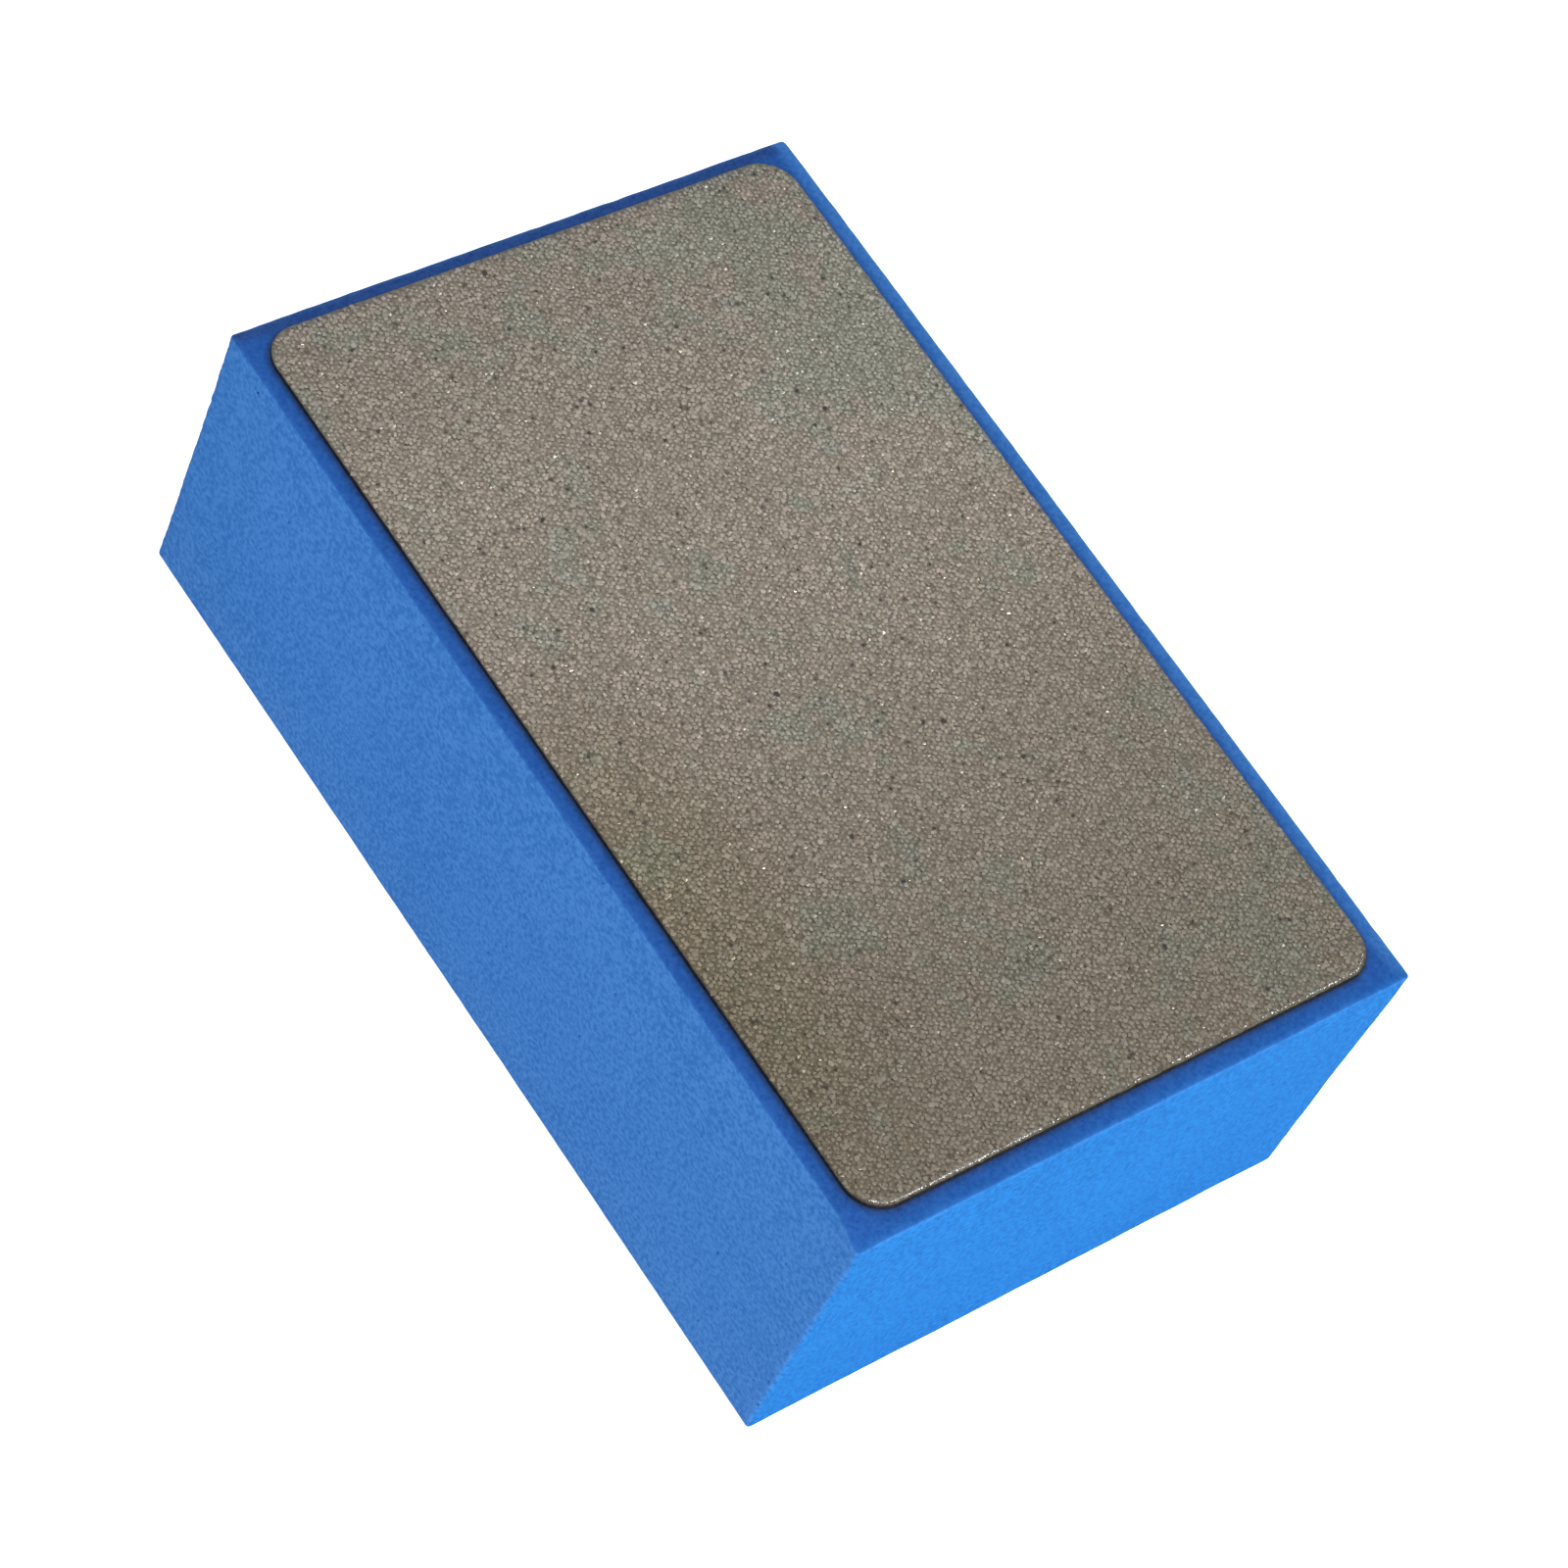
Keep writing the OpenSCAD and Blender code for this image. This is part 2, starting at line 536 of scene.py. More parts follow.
def build_tape():
    """The dark tape, cut by hand, so its edge wanders under the plate's."""
    z0, z1 = tape_lo[2], tape_hi[2]
    line, normal = loop_points(TAPE_RECT, TAPE_RADIUS, 0.45)
    flat = at_height(line, 0.0)
    out = 0.035 * noise(flat, size=3.1, seed=21) + 0.05 * noise(flat, size=0.8, seed=22)
    # it stops short on the -X and +Y sides
    out -= 0.01 + 0.09 * ramp01(np.maximum(-normal[:, 0], normal[:, 1]) * 2)
    # height, how far the ring stands out
    levels = (
        (z0, -0.02),
        (z0 + 0.03, 0.015),
        ((z0 + z1) / 2, 0.03),
        (z1 - 0.03, 0.0),
        (z1, -0.03),
    )
    rings = []
    for z, extra in levels:
        wave = 0.02 * noise(at_height(line, z * 9), size=0.9, seed=23)
        rings.append(at_height(line + normal * (out + extra + wave)[:, None], z))
    shell = Shell()
    shell.stack(rings)
    inner = lattice(TAPE_RECT, 3.0, np.random.default_rng(12))
    inner = inner[inside_rounded(inner, TAPE_RECT, TAPE_RADIUS) > 1.6]
    shell.cover(rings[0][:, :2], 0, inner, z0, flip=True)
    shell.cover(rings[-1][:, :2], (len(rings) - 1) * len(line), inner, z1)
    return make_mesh("tape_sheet", np.concatenate(shell.points), shell.faces)


# ---------------------------------------------------------------- grain sites

GRIT_STEP = 0.455
GRAIN_RADIUS = 0.200
# how far the grit stops short of the plate's edge at -X, +X, -Y and +Y
GRIT_GAP = (0.2, 0.46, 0.10, 0.2)


def grit_sites():
    """Where each grain sits, its radius, and which sites have lost their grain."""
    rng = np.random.default_rng(90)
    x0, x1, y0, y1 = PLATE_RECT
    points = lattice(PLATE_RECT, GRIT_STEP, rng, jitter=0.25)
    left, right, near, far = GRIT_GAP
    rect = (x0 + left, x1 - right, y0 + near, y1 - far)
    depth = inside_rounded(points, rect, PLATE_RADIUS - 0.2)
    points = points[depth > 0.05 + 0.07 * noise(at_height(points, 0.0), size=0.9, seed=31)]
    radii = rng.lognormal(math.log(GRAIN_RADIUS), 0.17, len(points))
    lost = rng.uniform(0, 1, len(points)) < 0.0008
    return points, np.clip(radii, 0.12, 0.29), lost


sites, site_radius, site_lost = grit_sites()


# ---------------------------------------------------------------- nickel plating

LIP = 0.085  # radius of the plating's rounded top edge
# rings up the outside: angle round the lip in degrees, how dark, which is painted shade
LIP_RINGS = ((22, 1.0), (45, 1.0), (68, 0.8), (90, 0.45))
SOCKET_RADIUS, SOCKET_DEPTH, SOCKET_SIDES = 0.13, 0.055, 6
BEAD_INSET = 0.40
BEAD_PITCH = 0.17
BEAD_SIDES = 8
BEAD_LATITUDES = (-50, -15, 20, 52)


def bead_path():
    """Points along the plate's +X-Y corner and then its +X+Y one, and distances along."""
    _, x1, y0, y1 = PLATE_RECT
    arcs = []
    for start, end, steps, y in (
        (-70, 0, 20, y0 + PLATE_RADIUS),
        (0, 50, 15, y1 - PLATE_RADIUS),
    ):
        angles = np.radians(np.linspace(start, end, steps))
        arcs.append(polar(angles, PLATE_RADIUS - BEAD_INSET) + (x1 - PLATE_RADIUS, y))
    path = np.concatenate(arcs)
    pieces = np.linalg.norm(np.diff(path, axis=0), axis=1)
    return path, np.concatenate([[0], np.cumsum(pieces)])


def build_beads():
    """Small nickel beads that stand along the +X lip, as points and triangles."""
    rng = np.random.default_rng(58)
    path, reach = bead_path()
    end = reach[-1]

    def on_path(distance):
        return np.column_stack([np.interp(distance, reach, path[:, k]) for k in (0, 1)])

    at = np.arange(0.3, end, BEAD_PITCH)
    at = at + rng.uniform(-0.04, 0.04, len(at))
    clump = noise(np.column_stack([at, at * 0, at * 0]), size=1.9, seed=61)
    # distance along the path, chance of a bead there
    stations = (0, 3, 7, 16, 24, end - 9, end - 6, end)
    chances = (0.25, 0.75, 0.95, 0.75, 0.35, 0.30, 0.85, 0.75)
    chance = np.interp(at, stations, chances) + 0.3 * clump
    at = at[rng.uniform(0, 1, len(at)) < chance]
    count = len(at)
    centres = on_path(at)
    centres += rng.uniform(-0.05, 0.05, centres.shape)
    way = on_path(at + 0.05) - on_path(at - 0.05)
    way /= np.linalg.norm(way, axis=1)[:, None]
    side = np.stack([way[:, 1], -way[:, 0]], 1)
    wide = np.clip(rng.lognormal(math.log(0.068), 0.28, count), 0.04, 0.12)
    long = wide * rng.uniform(1.0, 1.7, count)
    tall = wide * rng.uniform(0.9, 1.2, count)
    each = len(BEAD_LATITUDES) * BEAD_SIDES + 2
    low, high = each - 2, each - 1
    turn = np.linspace(0, 2 * math.pi, BEAD_SIDES, endpoint=False)
    points = np.zeros((count, each, 3))
    for k, latitude in enumerate(np.radians(BEAD_LATITUDES)):
        wobble = 1 + rng.uniform(-0.12, 0.12, (count, BEAD_SIDES))
        ahead = np.cos(turn) * math.cos(latitude) * wobble * long[:, None]
        aside = np.sin(turn) * math.cos(latitude) * wobble * wide[:, None]
        ring = slice(k * BEAD_SIDES, (k + 1) * BEAD_SIDES)
        points[:, ring, :2] = ahead[..., None] * way[:, None] + aside[..., None] * side[:, None]
        points[:, ring, 2] = (math.sin(latitude) * tall)[:, None]
    points[:, low, 2] = -tall
    points[:, high, 2] = tall
    points[:, :, :2] += centres[:, None]
    points[:, :, 2] += plate_hi[2] + 0.006
    i = np.arange(BEAD_SIDES)
    j = (i + 1) % BEAD_SIDES
    faces = [np.stack([j, i, np.full(BEAD_SIDES, low)], 1)]
    for k in range(len(BEAD_LATITUDES) - 1):
        a, b = k * BEAD_SIDES, (k + 1) * BEAD_SIDES
        faces.append(np.stack([a + i, a + j, b + j], 1))
        faces.append(np.stack([a + i, b + j, b + i], 1))
    last = (len(BEAD_LATITUDES) - 1) * BEAD_SIDES
    faces.append(np.stack([last + i, last + j, np.full(BEAD_SIDES, high)], 1))
    # way, side and up are left-handed, so the faces are turned over
    one = np.concatenate(faces)[:, ::-1]
    faces = one[None] + each * np.arange(count)[:, None, None]
    return points.reshape(-1, 3), faces.reshape(-1, 3)


def plating_shell(holes):
    """The closed skin over the steel, its values being how much painted shade it takes. Returns
    it, the size of its rings, and the indices where the outside ends and the top sheet starts."""
    rng = np.random.default_rng(41)
    x1 = plate_hi[0]
    z0, z1 = plate_lo[2], plate_hi[2]
    line, normal = loop_points(PLATE_RECT, PLATE_RADIUS, 0.3)
    count = len(line)
    # inset, height, how dark (painted shade)
    profile = [(0.0, z0, 1.0), (0.0, (z0 + z1 - LIP) / 2, 1.0), (0.0, z1 - LIP, 1.0)]
    for degrees, dark_shade in LIP_RINGS:
        angle = math.radians(degrees)
        profile.append((LIP * (1 - math.cos(angle)), z1 - LIP * (1 - math.sin(angle)), dark_shade))
    shell = Shell()
    shell.stack(
        [at_height(line - normal * by, z) for by, z, _ in profile],
        values=[dark_shade for _, _, dark_shade in profile],
    )
    outside_end = shell.count
    # inner wall and ceiling, which fit over the steel
    inner = line - normal * (steel_lo[0] - plate_lo[0])
    foot = shell.add(at_height(inner, z0))
    ceiling = shell.add(at_height(inner, steel_hi[2]))
    shell.add_faces(ring_quads(foot, 0, count))
    shell.add_faces(ring_quads(ceiling, foot, count))
    coarse = lattice(PLATE_RECT, 3.0, rng)
    coarse = coarse[inside_rounded(coarse, PLATE_RECT, PLATE_RADIUS) > 1.6]
    shell.cover(inner, ceiling, coarse, steel_hi[2], flip=True)
    # top sheet, with a dished socket where a grain has come out
    angles = np.linspace(0, 2 * math.pi, SOCKET_SIDES + 1)[:-1]
    rims = (holes[:, None] + polar(angles, 1.0) * SOCKET_RADIUS).reshape(-1, 2)
    # even bands of points follow the edge at the +X end
    bands = []
    for by in (0.13, 0.21, 0.30, 0.40, 0.52):
        band, _ = loop_points(inset(PLATE_RECT, by), PLATE_RADIUS - by, 0.3)
        bands.append(band[band[:, 0] > x1 - PLATE_RADIUS])
    fine = lattice(PLATE_RECT, 0.43, rng, jitter=0.2)
    gap = inside_rounded(fine, inset(PLATE_RECT, LIP), PLATE_RADIUS - LIP)
    off_bands = (gap > 0.55) | (fine[:, 0] < x1 - PLATE_RADIUS - 0.2)
    fine = fine[(gap > 0.17) & off_bands]
    fine = clear_of(np.concatenate([*bands, fine]), holes, 0.3)
    every = np.concatenate([holes, rims, fine])
    z = np.full(len(every), z1)
    z[: len(holes)] -= SOCKET_DEPTH
    sheet = shell.cover(line - normal * LIP, outside_end - count, every, z)
    return shell, count, outside_end, sheet


def build_plating():
    """Nickel skin: a lumpy sheet that rolls over the steel's edge and turns down over it."""
    x0, x1, y0, y1 = PLATE_RECT
    z0, z1 = plate_lo[2], plate_hi[2]
    holes = sites[site_lost]
    shell, ring, outside_end, sheet = plating_shell(holes)
    points = np.concatenate(shell.points)
    # edge is how much painted shade each point takes: the dark line where shadow falls under
    # the plate's edge
    edge = np.concatenate(shell.values)
    socket = np.zeros(len(points))
    rims = sheet + len(holes)
    # painted shade in the sockets: darkest at their middles, less at their rims
    socket[sheet:rims] = 1.0
    socket[rims : rims + len(holes) * SOCKET_SIDES] = 0.35
    up = points[:, 2] > steel_hi[2] + 0.01
    lumps = 0.012 * noise(points, size=0.9, seed=42) + 0.008 * noise(points, size=0.45, seed=43)
    points[up, 2] += lumps[up] - 0.008
    # bright bare metal with a painted highlight where the lip glints: only on the lip, 0.43 in
    # from the edge, only at the +X end, and fading along Y
    from_edge = inside_rounded(points[:, :2], PLATE_RECT, PLATE_RADIUS)
    from_edge[outside_end:sheet] = 9.0
    end_part = ramp01((points[:, 0] - (x1 - PLATE_RADIUS * 0.8)) / PLATE_RADIUS) ** 0.6
    along = np.clip((6.0 - points[:, 1]) / 26.0, 0.25, 1)
    broken = 1.6 * noise(points, size=0.62, seed=46) + 0.8 * noise(points, size=2.3, seed=47)
    band = np.exp(-(((from_edge - 0.43) / 0.15) ** 2))
    bare = end_part * along * ramp01(0.6 + broken) * band * 0.60
    bare[: outside_end - ring] = 0
    # the painted shade reaches further in on the lip at the +X end
    shade_reach = 0.20 + 0.05 * noise(points, size=0.7, seed=48)
    dark_shade = ramp01((points[:, 0] - (x1 - PLATE_RADIUS)) / PLATE_RADIUS)
    dark_shade = dark_shade * ramp01((shade_reach - from_edge) / 0.06)
    edge = np.maximum(edge, dark_shade * (from_edge < 1))
    # and less painted shade on the lip on the -X and +Y sides
    clean = np.maximum(
        ramp01((x0 + PLATE_RADIUS - points[:, 0]) / PLATE_RADIUS),
        ramp01((points[:, 1] - (y1 - PLATE_RADIUS)) / PLATE_RADIUS),
    )
    clean = clean * (points[:, 0] < x1 - PLATE_RADIUS)
    lip = slice(outside_end - 3 * ring, outside_end)
    edge[lip] *= 1 - 0.8 * clean[lip]
    # the plated lip is beaded
    rim = np.zeros(len(points), bool)
    rim[:outside_end] = points[:outside_end, 2] > z0 + 0.02
    core_x = np.clip(points[:, 0], x0 + PLATE_RADIUS, x1 - PLATE_RADIUS)
    core_y = np.clip(points[:, 1], y0 + PLATE_RADIUS, y1 - PLATE_RADIUS)
    way = points[:, :2] - np.column_stack([core_x, core_y])
    way /= np.maximum(np.linalg.norm(way, axis=1), 1e-6)[:, None]
    bead = 0.018 * noise(points, size=0.5, seed=44) + 0.012 * noise(points, size=0.3, seed=45)
    bead -= 0.012
    points[rim, :2] += (way * bead[:, None])[rim]
    crown = rim & (points[:, 2] > z1 - 0.06)
    points[crown, 2] += bead[crown] * 0.8
    bead_points, bead_faces = build_beads()
    faces = shell.faces + [bead_faces + len(points)]
    none = np.zeros(len(bead_points))
    obj = make_mesh("nickel_skin", np.concatenate([points, bead_points]), faces)
    set_attribute(obj, "edge", np.concatenate([edge, none]))
    set_attribute(obj, "bare", np.concatenate([bare, none + 1.0]))
    set_attribute(obj, "socket", np.concatenate([socket, none]))
    return obj


# ---------------------------------------------------------------- diamond grit

GRAIN_FLOOR = plate_hi[2] - 0.07
LYING_FACES = (
    (0, 1, 3), (1, 4, 3), (1, 2, 4), (2, 5, 4),
    (2, 0, 5), (0, 3, 5), (3, 4, 5), (0, 2, 1),
)
STANDING_FACES = (
    (0, 1, 4), (1, 2, 4), (2, 3, 4), (3, 0, 4),
    (1, 0, 5), (2, 1, 5), (3, 2, 5), (0, 3, 5),
)


def lying_grains(rng, radii, spin, top):
    """Grains lying on a face: a wide triangle below, a smaller turned one on top."""
    count = len(radii)
    thirds = np.arange(3) * 2 * math.pi / 3
    low = spin[:, None] + thirds + rng.uniform(-0.3, 0.3, (count, 3))
    high = spin[:, None] + math.pi / 3 + thirds + rng.uniform(-0.3, 0.3, (count, 3))
    low_radii = radii[:, None] * rng.uniform(0.95, 1.25, (count, 3))
    high_radii = radii[:, None] * rng.uniform(0.7, 1.1, (count, 3))
    points = np.zeros((count, 6, 3))
    points[:, :3, :2] = polar(low, low_radii)
    points[:, :3, 2] = GRAIN_FLOOR + rng.uniform(0, 0.03, (count, 3))
    points[:, 3:, :2] = polar(high, high_radii)
    points[:, 3:, 2] = top[:, None] - rng.uniform(0, 0.085, (count, 3))
    return points


def standing_grains(rng, radii, spin, top):
    """Grains standing on a point: four shoulders, a peak and a buried tip."""
    count = len(radii)
    quarters = np.arange(4) * math.pi / 2
    angles = spin[:, None] + quarters + rng.uniform(-0.32, 0.32, (count, 4))
    points = np.zeros((count, 6, 3))
    points[:, :4, :2] = polar(angles, radii[:, None] * rng.uniform(0.85, 1.3, (count, 4)))
    points[:, :4, 2] = plate_hi[2] + rng.uniform(-0.05, 0.035, (count, 4))
    points[:, 4, :2] = rng.uniform(-0.35, 0.35, (count, 2)) * radii[:, None]
    points[:, 4, 2] = top
    points[:, 5, 2] = GRAIN_FLOOR
    return points


def build_grit():
    """One layer of blocky crystals, each a closed eight-sided solid sunk in the plating."""
    rng = np.random.default_rng(77)
    centres, radii = sites[~site_lost], site_radius[~site_lost]
    count = len(centres)
    stand = np.clip(rng.normal(0.098, 0.022, count), 0.03, 0.135)
    top = plate_hi[2] + stand * np.clip(radii / GRAIN_RADIUS, 0.75, 1.12)
    top = np.minimum(top, grit_top + 0.012)
    spin = rng.uniform(0, 2 * math.pi, count)
    lying = lying_grains(rng, radii, spin, top)
    standing = standing_grains(rng, radii, spin, top)
    lies = (rng.uniform(0, 1, count) < 0.62)[:, None, None]
    points = np.where(lies, lying, standing)
    points[:, :, :2] += centres[:, None, :]
    faces = np.where(lies, np.array(LYING_FACES)[None], np.array(STANDING_FACES)[None])
    faces = faces + 6 * np.arange(count)[:, None, None]
    obj = make_mesh("grit_layer", points.reshape(-1, 3), [faces.reshape(-1, 3)], smooth=False)
    tint = ramp01(rng.normal(0.5, 0.125, count))
    clean = rng.uniform(0, 1, count)
    # few of the large grains are black
    clean[(clean > 0.002) & (clean < 0.06) & (radii > 0.19)] = 0.3
    set_attribute(obj, "tint", np.repeat(tint, 8), "FACE")
    set_attribute(obj, "clean", np.repeat(clean, 8), "FACE")
    return obj


foam = build_foam()
tape = build_tape()
plating = build_plating()
grit = build_grit()
for piece, node, slot in (
    (foam, "foam_body", "foam"),
    (tape, "adhesive_tape", "tape"),
    (plating, "nickel_plating", "nickel"),
    (grit, "diamond_grit", "diamond"),
):
    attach(piece, "root")
    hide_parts(node)


# ---------------------------------------------------------------- material nodes

WHITE = (1.0, 1.0, 1.0)


def grey(level):
    return (level, level, level)


class Tree:
    """Short names for building a material's nodes."""

    def __init__(self, name):
        self.material = bpy.data.materials.new(name)
        self.material.use_nodes = True
        self.nodes = self.material.node_tree.nodes
        self.links = self.material.node_tree.links
        self.nodes.clear()
        output = self.new("OutputMaterial")
        self.shader = self.new("BsdfPrincipled")
        self.links.new(self.shader.outputs[0], output.inputs["Surface"])
        self.coord = self.new("TexCoord").outputs["Object"]

    def new(self, kind):
        return self.nodes.new("ShaderNode" + kind)

    def put(self, socket, value):
        if isinstance(value, bpy.types.NodeSocket):
            self.links.new(value, socket)
        elif isinstance(value, tuple) and socket.type == "RGBA":
            socket.default_value = (*value, 1)
        else:
            socket.default_value = value

    def set(self, **inputs):
        for name, value in inputs.items():
            self.put(self.shader.inputs[name.replace("_", " ")], value)

    def attribute(self, name):
        node = self.new("Attribute")
        node.attribute_name = name
        return node.outputs["Fac"]

    def noise(self, size, detail=2.0, rough=0.5, vector=None):
        """A cloud pattern whose features are about size mm wide, from 0 to 1."""
        node = self.new("TexNoise")
        node.inputs["Scale"].default_value = 1000.0 / size
        node.inputs["Detail"].default_value = detail
        node.inputs["Roughness"].default_value = rough
        self.put(node.inputs["Vector"], vector or self.coord)
        return node.outputs["Fac"]

    def cells(self, size):
        """Distance from the middle of cells about size mm wide."""
        node = self.new("TexVoronoi")
        node.inputs["Scale"].default_value = 1000.0 / size
        self.put(node.inputs["Vector"], self.coord)
        return node.outputs["Distance"]

    def math(self, operation, a, b=0.0, c=0.0, clamp=False):
        node = self.new("Math")
        node.operation = operation
        node.use_clamp = clamp
        for socket, value in zip(node.inputs, (a, b, c)):
            self.put(socket, value)
        return node.outputs[0]

    def ramp(self, value, over, to=(0.0, 1.0), kind="SMOOTHSTEP"):
        """value from one range to another, smoothly and without passing either end."""
        node = self.new("MapRange")
        node.interpolation_type = kind
        for name, number in zip(("From Min", "From Max", "To Min", "To Max"), over + to):
            node.inputs[name].default_value = number
        self.put(node.inputs["Value"], value)
        return node.outputs["Result"]

    def slope(self, value, over, to=(0.0, 1.0)):
        """The same as ramp, in a straight line."""
        return self.ramp(value, over, to, kind="LINEAR")

    def mix(self, factor, a, b, kind="MIX"):
        """Colour a where factor is 0, b where it is 1."""
        node = self.new("Mix")
        node.data_type = "RGBA"
        node.blend_type = kind
        self.put(node.inputs["Factor"], factor)
        self.put(node.inputs["A"], a)
        self.put(node.inputs["B"], b)
        return node.outputs["Result"]

    def tinted(self, colour, by):
        """One colour multiplied by another."""
        return self.mix(1.0, colour, by, "MULTIPLY")

    def bump(self, height, depth, strength=1.0, normal=None):
        """A normal from a height pattern, depth mm deep."""
        node = self.new("Bump")
        node.inputs["Strength"].default_value = strength
        node.inputs["Distance"].default_value = depth * MM
        self.put(node.inputs["Height"], height)
        if normal is not None:
            self.put(node.inputs["Normal"], normal)
        return node.outputs["Normal"]

    def normal(self):
        return self.new("NewGeometry").outputs["Normal"]

    def xyz(self, vector=None):
        node = self.new("SeparateXYZ")
        self.put(node.inputs[0], vector or self.coord)
        return node.outputs

    def combine(self, x, y, z):
        node = self.new("CombineXYZ")
        for socket, value in zip(node.inputs, (x, y, z)):
            self.put(socket, value)
        return node.outputs[0]

    def vector_math(self, operation, **inputs):
        """inputs are a and b for vectors, scale for a number."""
        node = self.new("VectorMath")
        node.operation = operation
        sockets = {"a": 0, "b": 1, "scale": "Scale"}
        for name, value in inputs.items():
            self.put(node.inputs[sockets[name]], value)
        return node.outputs[0]


# ---------------------------------------------------------------- materials


def foam_skin(tree, x, y):
    """The top skin's colour, a darker shaded copy of the foam's: painted shadow along the -X
    rim, painted highlights along the +Y and +X rims, and a painted shadow next to the plate's
    foot.
    """
    minus_x, middle = (0.022, 0.050, 0.200), (0.0200, 0.0935, 0.380)
    plus_y, plus_x = (0.0400, 0.156, 0.478), (0.0165, 0.114, 0.430)
    # painted shadow on the -X rim; painted highlights on the +Y and +X rims
    skin = tree.mix(tree.ramp(x, over=(-0.0449, -0.0432)), minus_x, middle)
    skin = tree.mix(tree.ramp(y, over=(0.0262, 0.0271)), skin, plus_y)
    skin = tree.mix(tree.ramp(x, over=(0.0437, 0.0448)), skin, plus_x)
    # painted shadow: the skin is drawn darker next to the plate's foot
    squares = []
    for axis, lo, hi in ((x, plate_lo[0], plate_hi[0]), (y, plate_lo[1], plate_hi[1])):
        middle, half = (hi + lo) / 2 * MM, (hi - lo) / 2 * MM
        out = tree.math("ABSOLUTE", tree.math("SUBTRACT", axis, middle))
        out = tree.math("SUBTRACT", out, half - PLATE_RADIUS * MM)
        out = tree.math("MAXIMUM", out, 0.0)
        squares.append(tree.math("MULTIPLY", out, out))
    foot = tree.math("SQRT", tree.math("ADD", *squares))
    foot = tree.math("SUBTRACT", foot, PLATE_RADIUS * MM)
    plate_shadow = tree.ramp(foot, over=(0.0, 0.0006), to=(1.0, 0.0))
    return tree.mix(plate_shadow, skin, tree.tinted(skin, by=(1.40, 0.73, 0.60)))


def foam_material():
    tree = Tree("closed_cell_foam")
    blotch = tree.noise(size=24)
    cloud = tree.noise(size=2.4, detail=3.0, rough=0.6)
    speck = tree.noise(size=0.42, rough=0.6)
    facing = tree.xyz(tree.normal())
    ends = tree.ramp(facing[0], over=(0.35, 0.9))
    top = tree.ramp(facing[2], over=(0.35, 0.9))
    x, y, z = tree.xyz()
    skin = foam_skin(tree, x, y)
    # the cut sides: low and high shades, a little duller towards -X
    low, high = (0.0440, 0.157, 0.422), (0.0368, 0.147, 0.418)
    cut = tree.mix(tree.ramp(z, over=(0.000, 0.010), to=(1.0, 0.0)), high, low)
    dulling = tree.mix(tree.ramp(x, over=(-0.045, -0.028)), (0.93, 0.94, 0.95), WHITE)
    cut = tree.tinted(cut, by=dulling)
    # painted light: the +X end is a lit copy of the foam's colour, the top skin a shaded one
    lit_plus_x_end = (0.0080, 0.129, 0.405)
    shade = tree.mix(top, tree.mix(ends, cut, lit_plus_x_end), skin)
    # grain: mostly specks, stronger on the +X end and weaker on top
    mottle = tree.math("MULTIPLY_ADD", speck, 0.78, tree.math("MULTIPLY", cloud, 0.13))
    mottle = tree.math("MULTIPLY_ADD", blotch, 0.09, mottle)
    span = (0.36, 0.64)
    grain = tree.mix(tree.ramp(mottle, over=span), (0.56, 0.77, 0.865), (1.48, 1.26, 1.15))
    coarse = tree.mix(tree.ramp(mottle, over=span), (0.42, 0.69, 0.81), (1.60, 1.33, 1.20))
    grain = tree.mix(ends, grain, coarse)
    grain = tree.mix(tree.math("MULTIPLY", top, 0.35), grain, WHITE)
    colour = tree.tinted(shade, by=grain)
    # cell walls, then painted highlights along the cut edges, then painted shade in the open
    # cells, darker the deeper
    wall = tree.ramp(tree.cells(size=0.34), over=(0.10, 0.62))
    colour = tree.mix(tree.math("MULTIPLY", wall, 0.14), colour, (0.04, 0.20, 0.56))
    patchy = tree.ramp(cloud, over=(0.3, 0.6), to=(0.6, 1.0))
    painted_edge_highlight = tree.math("MULTIPLY", tree.attribute("painted_edge_highlight"), patchy)
    colour = tree.mix(tree.math("MULTIPLY", painted_edge_highlight, 0.30), colour, (0.085, 0.32, 0.78))
    pit = tree.ramp(tree.attribute("pit"), over=(0.05, 0.9), to=(0.0, 0.75))
    colour = tree.mix(pit, colour, (0.004, 0.030, 0.15))
    half_speck = tree.math("MULTIPLY", speck, 0.5)
    cellular = tree.math("MULTIPLY_ADD", tree.cells(size=0.26), 0.6, half_speck)
    fine_bump = tree.bump(cellular, depth=0.045, strength=0.36)
    tree.set(
        Base_Color=colour,
        Roughness=tree.ramp(speck, over=(0.3, 0.7), to=(0.70, 0.90)),
        Specular_IOR_Level=0.045,
        Normal=tree.bump(tree.noise(size=1.3), depth=0.03, strength=0.35, normal=fine_bump),
    )
    return tree.material


def tape_material():
    tree = Tree("black_tape")
    fine = tree.noise(size=0.35, detail=3.0, rough=0.6)
    tree.set(
        Base_Color=tree.mix(fine, (0.003, 0.003, 0.005), (0.010, 0.011, 0.015)),
        Specular_IOR_Level=0.08,
        Roughness=tree.ramp(fine, over=(0.3, 0.7), to=(0.55, 0.85)),
        Normal=tree.bump(fine, depth=0.03, strength=0.6),
    )
    return tree.material


def steel_material():
    """Steel with its grain drawn out along X."""
    tree = Tree("rolled_steel")
    x, y, z = tree.xyz()
    drawn = tree.combine(tree.math("MULTIPLY", x, 0.04), y, z)
    grain = tree.noise(size=0.08, detail=3.0, rough=0.6, vector=drawn)
    blotch = tree.math("MULTIPLY", tree.noise(size=9), 0.4)
    mottle = tree.math("MULTIPLY_ADD", grain, 0.6, blotch)
    tree.set(
        Base_Color=tree.mix(mottle, (0.33, 0.33, 0.34), (0.52, 0.52, 0.53)),
        Metallic=1.0,
        Roughness=tree.ramp(grain, over=(0.3, 0.7), to=(0.28, 0.5)),
        Normal=tree.bump(grain, depth=0.004, strength=0.5),
    )
    return tree.material


